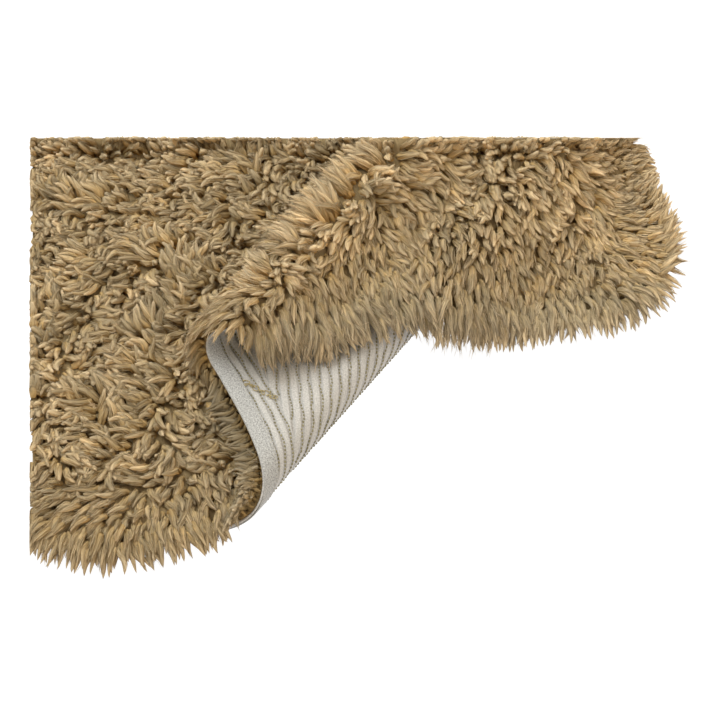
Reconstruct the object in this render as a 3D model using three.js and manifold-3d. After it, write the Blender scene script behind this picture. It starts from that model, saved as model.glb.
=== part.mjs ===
// The corner of a shaggy wool rug with a lobed edge, cut off straight at its back and left sides.
// It lies on a floor in one overlapping fold: the rug doubles back under itself, so that a strip of
// its bare backing shows, then rolls over again and comes down to the floor on the right.
// Three pieces: the woven cotton base, the cotton tape sewn under its lobed edge, and the wool pile.
// Millimetres, +Z up, +X to the right along the rug, +Y away from its front edge.

import * as THREE from "three";
import { mergeVertices } from "three/addons/utils/BufferGeometryUtils.js";
import Module from "manifold-3d";

const wasm = await Module();
wasm.setup();

// Driving dimensions

const BASE = { thick: 2 };
const CLEAR = 0.3; // between the base and the pile
const TAPE = { width: 18, thick: 1.2, clear: 0.5, acrossSteps: 3 };
const PILE = {
  high: 30, // free standing
  lump: 3.5,
  lumpPitch: 66,
  rimShare: 0.6, // of the full height, where the pile rounds off at the lobed edge
  rimRound: 28, // how far in from the edge it is rounded
  topOut: 7, // how far the pile's shoulder and its belly lean out past the base
  bellyOut: 13,
  bellyShare: 0.45,
  rowStep: 30,
};
// Where the flap lies on the first floor's pile and presses it: the gap left between the two piles
// and round the inside of the bend, and how far in from the hem and from the roll it takes hold.
const PRESS = { gap: 5, bendGap: 3, hemFrom: -26, hemRun: 30, rollFrom: -128, rollRun: 34 };
const ROLL_FREE_SHARE = 0.3; // of the way round the roll, where its pile stands up in full
const LOCK = { long: 29, wide: 9, deep: 7.5, rootIn: 8 };
// Two rows of locks along the lobed edge. The shares are of the pile's height and a lock's length.
const LOCK_ROWS = [
  { pitch: 8.5, from: 4, rootShare: 0.3, longShare: 1, tipHigh: 1 },
  { pitch: 21, from: 8, rootShare: 0.62, longShare: 0.86, tipHigh: 9 },
];

// On the floor the base sags from the tape's back down to the floor, just inside the tape. It does
// so no more where the fold has lifted it.
const SAG = { from: TAPE.width + 4, run: 16, gone: 12 };

// The folds run away to the right at this angle from +X.
const FOLD_DEGREES = 54.5;
// Across the folds, from the left. A bend turns up (+) or down (-) by degrees at its radius. The
// slope has the length that brings the rug back to the floor, and the landing levels it there.
const FIRST_FLOOR = { from: -480, to: 8.5 };
const FOLD = [
  { part: "first floor", long: FIRST_FLOOR.to - FIRST_FLOOR.from, step: 30 },
  { part: "under bend", radius: 27.5, turn: 175, step: 6 },
  { part: "flap", long: 95, step: 19 },
  { part: "roll", radius: 18.5, turn: -212, step: 5.2 },
  { part: "off the roll", long: 38, step: 19 },
  { part: "hollow", radius: 60, turn: 30, step: 8 },
  { part: "over the flap", long: 26, step: 26 },
  { part: "brow", radius: 50, turn: -28, step: 8 },
  { part: "slope", long: null, step: 24 },
  { part: "landing", radius: 90, turn: 35, step: 9 },
  { part: "far floor", long: 120, step: 24 },
];

// The lobed edge of the flat cut, from the left past the front to the right-hand side.
const LOBED_EDGE = [
  { right: -420, away: -150 },
  { right: -360, away: -196 },
  { right: -306, away: -228 },
  { right: -244, away: -243 },
  { right: -182, away: -229 },
  { right: -120, away: -211 },
  { right: -20, away: -207 },
  { right: 60, away: -216 },
  { right: 150, away: -231 },
  { right: 240, away: -211 },
  { right: 328, away: -177 },
  { right: 420, away: -168 },
  { right: 510, away: -160 },
  { right: 572, away: -143 },
  { right: 611, away: -101 },
  { right: 623, away: -50 },
  { right: 617, away: 0 },
  { right: 597, away: 52 },
  { right: 572, away: 105 },
  { right: 545, away: 165 },
];
// The left cut runs away at a slant. The back cut leans forward, so the higher the fold stands, the
// further forward it is cut off.
const LEFT_CUT = { right: -344, slant: -0.1 };
const BACK_CUT = { away: 325, forwardPerHeight: 0.976 };

const COLOUR = { base: 0xd9d3c7, tape: 0xdcd7cc, pile: 0xb59d75 };

// The fold's section

const ALONG = new THREE.Vector2(
  Math.cos(THREE.MathUtils.degToRad(FOLD_DEGREES)),
  Math.sin(THREE.MathUtils.degToRad(FOLD_DEGREES)),
);
const ACROSS = new THREE.Vector2(ALONG.y, -ALONG.x);
const TAPE_DEPTH = TAPE.thick + TAPE.clear;
const PILE_FOOT = BASE.thick + CLEAR;
const FLOOR_END = FIRST_FLOOR.to - FIRST_FLOOR.from;

const clamp01 = (x) => Math.min(1, Math.max(0, x));
const smooth = (x) => clamp01(x) ** 2 * (3 - 2 * clamp01(x));

// Each stretch of the fold with where it starts: path length, place across, height and heading.
function layOutFold() {
  const landing = FOLD.find((f) => f.part === "landing");
  const slopeAngle = THREE.MathUtils.degToRad(landing.turn);
  let at = { path: 0, across: FIRST_FLOOR.from, high: 0, heading: 0 };
  return FOLD.map((f) => {
    const turn = THREE.MathUtils.degToRad(f.turn ?? 0);
    const drop = at.high - landing.radius * (1 - Math.cos(slopeAngle));
    const long = f.radius ? f.radius * Math.abs(turn) : (f.long ?? drop / Math.sin(slopeAngle));
    const stretch = { ...f, ...at, long, curve: turn / long };
    at = { path: at.path + long, ...goAlong(stretch, long) };
    return stretch;
  });
}

// Place, height and heading after going a distance along a straight or round stretch.
function goAlong({ across, high, heading, curve }, distance) {
  const end = heading + curve * distance;
  if (!curve)
    return {
      across: across + Math.cos(heading) * distance,
      high: high + Math.sin(heading) * distance,
      heading,
    };
  return {
    across: across + (Math.sin(end) - Math.sin(heading)) / curve,
    high: high - (Math.cos(end) - Math.cos(heading)) / curve,
    heading: end,
  };
}

const STRETCHES = layOutFold();
const stretch = (part) => STRETCHES.find((f) => f.part === part);

function foldAt(path) {
  const f = STRETCHES.findLast((g) => g.path <= path) ?? STRETCHES[0];
  return goAlong(f, path - f.path);
}

// A point of the flat cut, at a height over the backing's face, in its place on the folded rug.
function place(path, along, height) {
  const f = foldAt(path);
  const across = f.across - Math.sin(f.heading) * height;
  return new THREE.Vector3(
    across * ACROSS.x + along * ALONG.x,
    across * ACROSS.y + along * ALONG.y,
    TAPE_DEPTH + f.high + Math.cos(f.heading) * height,
  );
}

// The flat cut's outline

const toFold = ({ x, y }) =>
  new THREE.Vector2(
    x * ACROSS.x + y * ACROSS.y - FIRST_FLOOR.from,
    x * ALONG.x + y * ALONG.y,
  );

const EDGE_SAMPLES = 1600;
const edgeCurve = new THREE.SplineCurve(
  LOBED_EDGE.map(({ right, away }) => toFold(new THREE.Vector2(right, away))),
);
const edgePoints = edgeCurve.getSpacedPoints(EDGE_SAMPLES);
const tipIndex = edgePoints.reduce((best, p, i) => (p.x > edgePoints[best].x ? i : best), 0);
const frontSide = edgePoints.slice(0, tipIndex + 1);
const rightSide = edgePoints.slice(tipIndex).reverse();

// Along the fold, where one side of the lobed edge crosses a path length.
function sideAt(side, path) {
  const i = side.findIndex((p) => p.x >= path);
  if (i === 0) return side[0].y;
  if (i < 0) return side.at(-1).y;
  const t = (path - side[i - 1].x) / (side[i].x - side[i - 1].x);
  return THREE.MathUtils.lerp(side[i - 1].y, side[i].y, t);
}

function leftCutAt(path) {
  const across = path + FIRST_FLOOR.from;
  const { right, slant } = LEFT_CUT;
  return (right + across * (slant * ACROSS.y - ACROSS.x)) / (ALONG.x - slant * ALONG.y);
}

function backCutAt(path) {
  const { across, high, heading } = foldAt(path);
  const reach = [0, PILE_FOOT + PILE.high].map((height) => {
    const away = BACK_CUT.away - BACK_CUT.forwardPerHeight * (high + Math.cos(heading) * height);
    return (away - (across - Math.sin(heading) * height) * ACROSS.y) / ALONG.y;
  });
  return Math.min(...reach);
}

const isFrontCut = (path) => path < FLOOR_END && leftCutAt(path) > sideAt(frontSide, path);
const isBackCut = (path) => path < rightSide[0].x || backCutAt(path) < sideAt(rightSide, path);
const lowEnd = (path) => (isFrontCut(path) ? leftCutAt(path) : sideAt(frontSide, path));
const highEnd = (path) => (isBackCut(path) ? backCutAt(path) : sideAt(rightSide, path));

// The first path length, searching from one to another, at which a test holds.
function firstWhere(test, from, to) {
  const steps = 4000;
  for (let i = 0; i <= steps; i++) {
    const path = THREE.MathUtils.lerp(from, to, i / steps);
    if (test(path)) return path;
  }
  throw new Error("the outline never gets there");
}

const tipPath = edgePoints[tipIndex].x;
const leftTip = firstWhere((p) => leftCutAt(p) < backCutAt(p), -20, 60);
const leftCorner = firstWhere((p) => !isFrontCut(p), leftTip, tipPath);
const rightCorner = firstWhere((p) => !isBackCut(p), stretch("over the flap").path, tipPath);

const insideCuts = (p) => (p.x > FLOOR_END || p.y > leftCutAt(p.x)) && p.y < backCutAt(p.x);

// How far a point of the flat cut lies in from the lobed edge.
const edgeCheck = edgePoints.filter((_, i) => i % 4 === 0);
const edgeDistance = (path, along) =>
  Math.sqrt(
    edgeCheck.reduce((d, p) => Math.min(d, (p.x - path) ** 2 + (p.y - along) ** 2), Infinity),
  );

// The columns of the mesh run along the folds, closer together in the bends and at the round tip.
const TIP_STEPS = [0, 0.7, 2.8, 6.5, 12, 20];
function columnPaths() {
  const ends = STRETCHES.map((f) => f.path + f.long).filter((p) => p < tipPath - 30);
  const stops = [leftTip, leftCorner, rightCorner, ...ends, tipPath - TIP_STEPS.at(-1)];
  stops.sort((a, b) => a - b);
  const paths = [stops[0]];
  stops.slice(1).forEach((to, i) => {
    const from = stops[i];
    const { step } = STRETCHES.findLast((f) => f.path <= (from + to) / 2);
    const parts = Math.max(1, Math.round((to - from) / step));
    for (let k = 1; k <= parts; k++) paths.push(from + ((to - from) * k) / parts);
  });
  TIP_STEPS.slice(0, -1).reverse().forEach((back) => paths.push(tipPath - back));
  return paths.filter((p, i) => i === 0 || p - paths[i - 1] > 0.2);
}

// The base

function sag(path, along) {
  const inside = (edgeDistance(path, along) - SAG.from) / SAG.run;
  return TAPE_DEPTH * smooth(inside) * (1 - smooth(foldAt(path).high / SAG.gone));
}

// Rows along a column: at its ends, at the tape's inner side, past the sag, and between.
function baseRows(path) {
  const [low, high] = [lowEnd(path), highEnd(path)];
  const long = high - low;
  const inward = [SAG.from, SAG.from + SAG.run];
  const reach = (end, sign, want) =>
    firstInward((d) => edgeDistance(path, end + sign * d) >= want, long);
  const lowRows = inward.map((want, k) => Math.min(reach(low, 1, want), long * (0.2 + 0.2 * k)));
  const highRows = inward.map((want, k) => Math.min(reach(high, -1, want), long * (0.2 + 0.2 * k)));
  return [
    low,
    low + lowRows[0],
    low + lowRows[1],
    high - highRows[1],
    high - highRows[0],
    high,
  ];
}

function firstInward(test, long) {
  const step = 0.5;
  for (let d = 0; d < long / 2; d += step) if (test(d)) return d;
  return long / 2;
}

// A face of the sheet as points by column and row; both ends of the sheet are single points.
function facePoints(paths, rowsOf, at) {
  return paths.map((path, i) => {
    const rows = rowsOf(path);
    const isTip = i === 0 || i === paths.length - 1;
    return isTip ? [at(path, (rows[0] + rows.at(-1)) / 2)] : rows.map((row) => at(path, row));
  });
}

// Triangles between two neighbouring columns, which may be a single point.
function joinColumns(a, b, flip, triangles) {
  const add = (p, q, r) => triangles.push(...(flip ? [p, r, q] : [p, q, r]));
  if (a.length === 1) for (let j = 0; j + 1 < b.length; j++) add(a[0], b[j], b[j + 1]);
  else if (b.length === 1) for (let j = 0; j + 1 < a.length; j++) add(a[j], b[0], a[j + 1]);
  else
    for (let j = 0; j + 1 < a.length; j++) {
      add(a[j], b[j], b[j + 1]);
      add(a[j], b[j + 1], a[j + 1]);
    }
}

// A closed body from its under face, its upper face and the rings between their outlines.
function closedBody(under, rings, upper) {
  const triangles = [];
  for (let i = 0; i + 1 < under.length; i++) joinColumns(under[i], under[i + 1], true, triangles);
  for (let i = 0; i + 1 < upper.length; i++) joinColumns(upper[i], upper[i + 1], false, triangles);
  const loops = [outlineOf(under), ...rings, outlineOf(upper)];
  for (let k = 0; k + 1 < loops.length; k++)
    loops[k].forEach((p, i) => {
      const next = (i + 1) % loops[k].length;
      triangles.push(p, loops[k][next], loops[k + 1][i]);
      triangles.push(loops[k][next], loops[k + 1][next], loops[k + 1][i]);
    });
  const geometry = new THREE.BufferGeometry().setFromPoints(triangles);
  return mergeVertices(geometry, 1e-4);
}

// A face's outline: along the front from the left tip to the right one, and back along the rear.
function outlineOf(face) {
  const front = face.map((column) => column[0]);
  const rear = face.slice(1, -1).map((column) => column.at(-1));
  return [...front, ...rear.reverse()];
}

const PATHS = columnPaths();
const baseFace = (height) =>
  facePoints(PATHS, baseRows, (path, along) => place(path, along, height - sag(path, along)));
const baseSolid = () => solidOf(closedBody(baseFace(0), [], baseFace(BASE.thick)));

// The tape, sewn to the backing along the lobed edge

const edgeLength = edgeCurve.getLength();
// Stations on the lobed edge, each with its place and its outward direction in the flat cut.
function edgeStations(stepOf, from = 0) {
  const stations = [];
  for (let run = from; run < edgeLength; ) {
    const t = run / edgeLength;
    const at = edgeCurve.getPointAt(t);
    const tangent = edgeCurve.getTangentAt(t);
    if (insideCuts(at)) stations.push({ at, out: new THREE.Vector2(tangent.y, -tangent.x) });
    run += stepOf(at.x);
  }
  return stations;
}

// Whether any of the tape at a station lies in a bend, where it needs closer stations.
const curved = (path) =>
  STRETCHES.some(
    (f) => f.curve && f.path < path + TAPE.width && f.path + f.long > path - TAPE.width,
  );

function tapeSolid() {
  const stations = edgeStations((path) => (curved(path) ? 5 : 18));
  const loops = stations.map(({ at, out }) => {
    const loop = [];
    for (const height of [-TAPE.clear, -TAPE_DEPTH])
      for (let k = 0; k <= TAPE.acrossSteps; k++) {
        const step = height === -TAPE.clear ? k : TAPE.acrossSteps - k;
        const inward = (TAPE.width * step) / TAPE.acrossSteps;
        loop.push(place(at.x - out.x * inward, at.y - out.y * inward, height));
      }
    return loop;
  });
  return solidOf(sweptBody(loops));
}

// A closed body through rings of points, with a flat end on its first and last ring.
function sweptBody(loops) {
  const triangles = [];
  const fan = (ring, flip) => {
    const half = ring.length / 2;
    for (let k = 0; k + 1 < half; k++) {
      const [a, b, c, d] = [ring[k], ring[k + 1], ring[ring.length - 2 - k], ring[ring.length - 1 - k]];
      triangles.push(...(flip ? [a, c, b, a, d, c] : [a, b, c, a, c, d]));
    }
  };
  fan(loops[0], false);
  fan(loops.at(-1), true);
  for (let i = 0; i + 1 < loops.length; i++)
    loops[i].forEach((p, k) => {
      const next = (k + 1) % loops[i].length;
      triangles.push(p, loops[i + 1][k], loops[i][next]);
      triangles.push(loops[i][next], loops[i + 1][k], loops[i + 1][next]);
    });
  return mergeVertices(new THREE.BufferGeometry().setFromPoints(triangles), 1e-4);
}

// The pile

// Height of the flap's backing over a place across the folds, and of each pile in the room under it.
function flapHigh(across) {
  const flap = stretch("flap");
  const run = clamp01((flap.across - across) / (flap.long * -Math.cos(flap.heading)));
  return flap.high + run * flap.long * Math.sin(flap.heading);
}
const roomUnder = (across) => (flapHigh(across) - 2 * PILE_FOOT - PRESS.gap) / 2;

// The share by which the first floor's pile is covered, and so pressed, by the flap.
function covered(path, along) {
  const { across } = foldAt(path);
  const flap = stretch("flap");
  const flapPath = flap.path + (flap.across - across) / -Math.cos(flap.heading);
  const hem = sideAt(frontSide, Math.max(flapPath, flap.path));
  const pastHem = smooth((along - hem - PRESS.hemFrom) / PRESS.hemRun);
  return pastHem * smooth((across - PRESS.rollFrom) / PRESS.rollRun);
}

function pressedHigh(path, along) {
  const [bend, flap, roll] = ["under bend", "flap", "roll"].map(stretch);
  const { across } = foldAt(path);
  if (path < bend.path)
    return THREE.MathUtils.lerp(PILE.high, roomUnder(across), covered(path, along));
  if (path < flap.path) return Math.min(roomUnder(across), bend.radius - PILE_FOOT - PRESS.bendGap);
  if (path < roll.path) return roomUnder(across);
  const onRoll = (path - roll.path) / (ROLL_FREE_SHARE * roll.long);
  return THREE.MathUtils.lerp(roomUnder(across), PILE.high, smooth(onRoll));
}

function lump(path, along) {
  const turn = (2 * Math.PI) / PILE.lumpPitch;
  return (
    (Math.sin(path * turn + 0.6 * Math.sin(along * turn * 0.7)) *
      Math.sin(along * turn * 1.1 + 1.3 * Math.sin(path * turn * 0.4)) +
      0.5 * Math.sin((path + along) * turn * 1.9 + 0.8)) /
    1.5
  );
}

function pileHigh(path, along) {
  const rounding = smooth(edgeDistance(path, along) / PILE.rimRound);
  const high = pressedHigh(path, along);
  const free = high / PILE.high;
  const lumps = PILE.lump * lump(path, along) * smooth((free - 0.7) / 0.3);
  return high * THREE.MathUtils.lerp(PILE.rimShare, 1, rounding) + lumps * rounding;
}

const pileRowCount = Math.round((highEnd(leftCorner) - lowEnd(leftCorner)) / PILE.rowStep);
function pileRows(path) {
  const [low, high] = [lowEnd(path), highEnd(path)];
  return Array.from({ length: pileRowCount + 1 }, (_, j) =>
    THREE.MathUtils.lerp(low, high, j / pileRowCount),
  );
}

// A point on the lobed edge moved out past it, but not past the cuts. A cut edge stays square.
const ON_EDGE = 2;
function leanOut(path, along, distance, height) {
  const nearest = edgePoints.reduce(
    (best, p, i) => {
      const d = (p.x - path) ** 2 + (p.y - along) ** 2;
      return d < best.d ? { d, i } : best;
    },
    { d: Infinity, i: 0 },
  );
  if (nearest.d > ON_EDGE ** 2) return place(path, along, height);
  const before = edgePoints[Math.max(0, nearest.i - 1)];
  const after = edgePoints[Math.min(EDGE_SAMPLES, nearest.i + 1)];
  const tangent = after.clone().sub(before).normalize();
  const moved = new THREE.Vector2(path + tangent.y * distance, along - tangent.x * distance);
  if (moved.x < FLOOR_END) moved.y = Math.max(moved.y, leftCutAt(moved.x));
  moved.y = Math.min(moved.y, backCutAt(moved.x));
  return place(moved.x, moved.y, height);
}

function pileSlab() {
  const under = facePoints(PATHS, baseRows, (path, along) =>
    place(path, along, PILE_FOOT - sag(path, along)),
  );
  const ends = (path, i) => {
    const [low, high] = [lowEnd(path), highEnd(path)];
    return i === 0 || i === PATHS.length - 1 ? [(low + high) / 2] : [low, high];
  };
  const endPoints = PATHS.map((path, i) => ends(path, i).map((along) => [path, along]));
  const ring = outlineOf(endPoints);
  const belly = ring.map(([path, along]) =>
    leanOut(path, along, PILE.bellyOut, PILE_FOOT + pileHigh(path, along) * PILE.bellyShare),
  );
  const upper = facePoints(PATHS, pileRows, (path, along) =>
    leanOut(path, along, PILE.topOut, PILE_FOOT + pileHigh(path, along)),
  );
  return closedBody(under, [belly], upper);
}

// A fixed sequence of numbers from 0 to 1, so that every build is the same.
function dice(seed) {
  let state = seed;
  return () => {
    state = (state + 0x6d2b79f5) | 0;
    let t = Math.imul(state ^ (state >>> 15), 1 | state);
    t = (t + Math.imul(t ^ (t >>> 7), 61 | t)) ^ t;
    return ((t ^ (t >>> 14)) >>> 0) / 4294967296;
  };
}

// How far a lock's tip hangs below the level of its root, by the stretch of the fold that it is on.
const TIP_DROOP = {
  roll: 12,
  "off the roll": 17,
  hollow: 12,
  "over the flap": 9,
  brow: 14,
  slope: 18,
};

// A lock's outline at its root and half way along, as shares of its width and depth.
const LOCK_SECTION = [
  { across: -0.5, up: -0.35 },
  { across: 0.5, up: -0.35 },
  { across: 0, up: 0.65 },
];

// One lock: a three-sided spike from inside the pile's rim, out over the lobed edge.
function lockSolid({ at, out }, row, roll) {
  const { part } = STRETCHES.findLast((f) => f.path <= at.x);
  const side = new THREE.Vector2(-out.y, out.x);
  const long = LOCK.long * row.longShare * (0.84 + 0.32 * roll());
  const sway = (roll() - 0.5) * 10;
  const high = PILE_FOOT + pressedHigh(at.x, at.y) * (row.rootShare + 0.12 * roll());
  const onFloor = foldAt(at.x).high < 1;
  const tipHigh = onFloor ? row.tipHigh + 2 * roll() : high;
  const droop = TIP_DROOP[part] ?? 0;
  const point = (outward, sideways, height, drop) =>
    place(
      at.x + out.x * outward + side.x * sideways,
      at.y + out.y * outward + side.y * sideways,
      height,
    ).add(new THREE.Vector3(0, 0, -drop));
  const ring = (outward, shift, height, size, drop) =>
    LOCK_SECTION.map(({ across, up }) =>
      point(outward, shift + across * size * LOCK.wide, height + up * size * LOCK.deep, drop),
    );
  const root = ring(-LOCK.rootIn, 0, high, 1, 0);
  const middle = ring(long * 0.55, sway / 2, (high * 2 + tipHigh) / 3, 0.8, droop * 0.3);
  const tip = point(long, sway, tipHigh, droop);
  const triangles = [root[0], root[2], root[1]];
  root.forEach((p, k) => {
    const next = (k + 1) % root.length;
    triangles.push(p, root[next], middle[k], root[next], middle[next], middle[k]);
    triangles.push(middle[k], middle[next], tip);
  });
  return solidOf(mergeVertices(new THREE.BufferGeometry().setFromPoints(triangles), 1e-4));
}

function solidOf(geometry) {
  const solid = new wasm.Manifold(
    new wasm.Mesh({
      numProp: 3,
      vertProperties: new Float32Array(geometry.attributes.position.array),
      triVerts: new Uint32Array(geometry.index.array),
    }),
  );
  if (solid.volume() < 0) throw new Error("a body is inside out");
  return solid;
}

function geometryOf(solid) {
  const mesh = solid.getMesh();
  const positions = new Float32Array(mesh.numVert * 3);
  for (let i = 0; i < mesh.numVert; i++)
    positions.set(mesh.vertProperties.subarray(i * mesh.numProp, i * mesh.numProp + 3), i * 3);
  const geometry = new THREE.BufferGeometry();
  geometry.setAttribute("position", new THREE.BufferAttribute(positions, 3));
  geometry.setIndex(new THREE.BufferAttribute(mesh.triVerts, 1));
  geometry.computeVertexNormals();
  return geometry;
}

function pileSolid() {
  const roll = dice(7);
  const bend = stretch("under bend");
  const inBend = (path) => path > bend.path && path < bend.path + bend.long;
  const hasRoom = ({ at, out }) => insideCuts(at.clone().addScaledVector(out, LOCK.long));
  const locks = LOCK_ROWS.flatMap((row) =>
    edgeStations(() => row.pitch, row.from)
      .filter((station) => !inBend(station.at.x) && hasRoom(station))
      .map((station) => lockSolid(station, row, roll)),
  );
  return wasm.Manifold.union([solidOf(pileSlab()), ...locks]);
}

// The rug

function piece(name, solid, color) {
  const mesh = new THREE.Mesh(
    geometryOf(solid),
    new THREE.MeshStandardMaterial({ color, roughness: 0.95, metalness: 0 }),
  );
  mesh.name = name;
  return mesh;
}

const rug = new THREE.Group();
rug.add(piece("base_cloth", baseSolid(), COLOUR.base));
rug.add(piece("edge_tape", tapeSolid(), COLOUR.tape));
rug.add(piece("wool_pile", pileSolid(), COLOUR.pile));

// The origin is under the middle of the folded rug, on the floor.
const middle = new THREE.Box3().setFromObject(rug).getCenter(new THREE.Vector3());
rug.position.set(-middle.x, -middle.y, 0);

export default rug;
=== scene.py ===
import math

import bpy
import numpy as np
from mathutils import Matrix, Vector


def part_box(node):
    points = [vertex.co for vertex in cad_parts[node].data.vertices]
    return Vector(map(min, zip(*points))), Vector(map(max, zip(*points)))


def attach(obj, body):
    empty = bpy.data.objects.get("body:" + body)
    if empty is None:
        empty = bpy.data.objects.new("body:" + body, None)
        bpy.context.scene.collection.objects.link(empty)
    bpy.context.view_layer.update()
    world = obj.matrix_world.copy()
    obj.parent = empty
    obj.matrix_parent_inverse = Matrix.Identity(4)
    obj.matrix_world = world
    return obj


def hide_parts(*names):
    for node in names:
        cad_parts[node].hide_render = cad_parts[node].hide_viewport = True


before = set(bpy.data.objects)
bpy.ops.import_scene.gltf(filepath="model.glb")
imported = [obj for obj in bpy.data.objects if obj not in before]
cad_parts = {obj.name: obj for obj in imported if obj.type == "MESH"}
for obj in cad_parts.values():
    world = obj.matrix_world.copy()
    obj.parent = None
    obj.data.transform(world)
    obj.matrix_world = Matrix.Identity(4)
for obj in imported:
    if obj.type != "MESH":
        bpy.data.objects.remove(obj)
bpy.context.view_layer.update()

# The looks of a shaggy wool rug that lies folded over on itself: its woven backing, the tape along
# its lobed edge, the rows of tufting stitches, and its pile as separate twisted locks of wool.
# Sizes are in millimetres until a mesh is made. The fold and the outline are those of the CAD part.

MM = 0.001
TURN = 2 * math.pi

# Sizes of the cloth and its fold

BASE_THICK = 2.0
TAPE_WIDTH = 18.0
TAPE_THICK = 1.2
TAPE_CLEAR = 0.5
TAPE_DEPTH = TAPE_THICK + TAPE_CLEAR
PILE_FOOT = BASE_THICK + 0.3
PILE_HIGH = 30.0
SAG_FROM = TAPE_WIDTH + 4
SAG_RUN = 16.0
SAG_GONE = 12.0

FOLD_DEGREES = 54.5
FIRST_FROM = -480.0
FIRST_TO = 8.5
FOLD = [
    dict(part="first floor", long=FIRST_TO - FIRST_FROM),
    dict(part="under bend", radius=27.5, turn=175),
    dict(part="flap", long=95),
    dict(part="roll", radius=18.5, turn=-212),
    dict(part="off the roll", long=38),
    dict(part="hollow", radius=60, turn=30),
    dict(part="over the flap", long=26),
    dict(part="brow", radius=50, turn=-28),
    dict(part="slope", long=None),
    dict(part="landing", radius=90, turn=35),
    dict(part="far floor", long=120),
]
LOBED_EDGE = [
    (-420, -150), (-360, -196), (-306, -228), (-244, -243), (-182, -229), (-120, -211),
    (-20, -207), (60, -216), (150, -231), (240, -211), (328, -177), (420, -168),
    (510, -160), (572, -143), (611, -101), (623, -50), (617, 0), (597, 52),
    (572, 105), (545, 165),
]
LEFT_CUT = dict(right=-344, slant=-0.1, slack=3.5, right_per_height=0.13)
BACK_CUT = dict(away=325, forward_per_height=0.976)

# The photograph's camera: 52 degrees above the floor, aimed at the middle of the picture

CAMERA_ELEVATION = 52.0
CAMERA_LENS = 100.0
CAMERA_SENSOR = 36.0
CAMERA_DISTANCE = 2105.3

rng = np.random.default_rng(11)


def heading(angle):
    return np.array([math.cos(angle), math.sin(angle)])


ALONG = heading(math.radians(FOLD_DEGREES))
ACROSS = np.array([ALONG[1], -ALONG[0]])


def smooth(x):
    x = np.clip(x, 0, 1)
    return x * x * (3 - 2 * x)


def within(x, low, high):
    return (x > low) & (x < high)


def lerp(a, b, t):
    return a + (b - a) * t


def unit(v):
    return v / np.maximum(np.linalg.norm(v, axis=-1, keepdims=True), 1e-9)


# The point of a line at each run along it, given the runs of its points
def point_at(run, runs, points):
    return np.stack([np.interp(run, runs, points[:, k]) for k in (0, 1)], -1)


# The nearest of the points to each place: how far it is, and which it is
def nearest(places, points):
    distance, index = np.empty(len(places)), np.empty(len(places), int)
    for i in range(0, len(places), 4000):
        part = slice(i, i + 4000)
        d = (places[part, None, 0] - points[:, 0]) ** 2 + (places[part, None, 1] - points[:, 1]) ** 2
        index[part] = d.argmin(1)
        distance[part] = np.sqrt(d.min(1))
    return distance, index


# The fold: place across the folds, height and heading at a path length

def lay_out_fold():
    landing = next(f for f in FOLD if f["part"] == "landing")
    slope = math.radians(landing["turn"])
    rows, path, across, high, head = [], 0.0, FIRST_FROM, 0.0, 0.0
    for f in FOLD:
        turn = math.radians(f.get("turn", 0))
        if "radius" in f:
            long = f["radius"] * abs(turn)
        elif f["long"] is None:
            long = (high - landing["radius"] * (1 - math.cos(slope))) / math.sin(slope)
        else:
            long = f["long"]
        curve = turn / long
        rows.append((path, across, high, head, curve))
        end = head + turn
        if turn:
            across += (math.sin(end) - math.sin(head)) / curve
            high -= (math.cos(end) - math.cos(head)) / curve
        else:
            across += math.cos(head) * long
            high += math.sin(head) * long
        path, head = path + long, end
    return np.array(rows)


STRETCHES = lay_out_fold()
STARTS = {f["part"]: row[0] for f, row in zip(FOLD, STRETCHES)}
FLOOR_END = STARTS["under bend"]
ROLL = STARTS["roll"]
ROLL_END = STARTS["off the roll"]


def fold_at(path):
    path = np.asarray(path, float)
    i = np.clip(np.searchsorted(STRETCHES[:, 0], path, side="right") - 1, 0, len(STRETCHES) - 1)
    start, across, high, head, curve = STRETCHES[i].T if path.ndim == 1 else STRETCHES[i]
    run = path - start
    end = head + curve * run
    bent = np.where(curve == 0, 1, curve)
    across = across + np.where(curve == 0, np.cos(head) * run, (np.sin(end) - np.sin(head)) / bent)
    high = high + np.where(curve == 0, np.sin(head) * run, -(np.cos(end) - np.cos(head)) / bent)
    return across, high, end


def place(path, along, height):
    across, high, head = fold_at(np.ravel(path))
    along, height = np.ravel(along), np.ravel(height)
    across = across - np.sin(head) * height
    return np.stack(
        [
            across * ACROSS[0] + along * ALONG[0],
            across * ACROSS[1] + along * ALONG[1],
            TAPE_DEPTH + high + np.cos(head) * height,
        ],
        -1,
    )


# Across the folds, along them and out of the pile's side, in space, at a path length
def directions(path):
    head = fold_at(path)[2]
    c, s, o = np.cos(head), np.sin(head), np.zeros_like(head)
    forward = np.stack([c * ACROSS[0], c * ACROSS[1], s], -1)
    outward = np.stack([-s * ACROSS[0], -s * ACROSS[1], c], -1)
    sideways = np.stack([o + ALONG[0], o + ALONG[1], o], -1)
    return forward, sideways, outward


# The outline of the flat cut

def smooth_curve(points, samples):
    p = np.array(points, float)
    last = len(p) - 1
    t = np.linspace(0, last, samples)
    i = np.minimum(t.astype(int), last - 1)
    w = (t - i)[:, None]
    a, b = p[np.maximum(i - 1, 0)], p[i]
    c, d = p[i + 1], p[np.minimum(i + 2, last)]
    out, into = (c - a) / 2, (d - b) / 2
    return (2 * b - 2 * c + out + into) * w**3 + (3 * c - 3 * b - 2 * out - into) * w**2 + out * w + b


def to_fold(xy):
    return np.stack([xy @ ACROSS - FIRST_FROM, xy @ ALONG], -1)


def to_flat(path, along):
    across = path + FIRST_FROM
    return np.stack([across * ACROSS[0] + along * ALONG[0], across * ACROSS[1] + along * ALONG[1]], -1)


def even_steps(points, count):
    run = np.concatenate([[0], np.cumsum(np.linalg.norm(np.diff(points, axis=0), axis=1))])
    return point_at(np.linspace(0, run[-1], count), run, points), run[-1]


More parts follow.
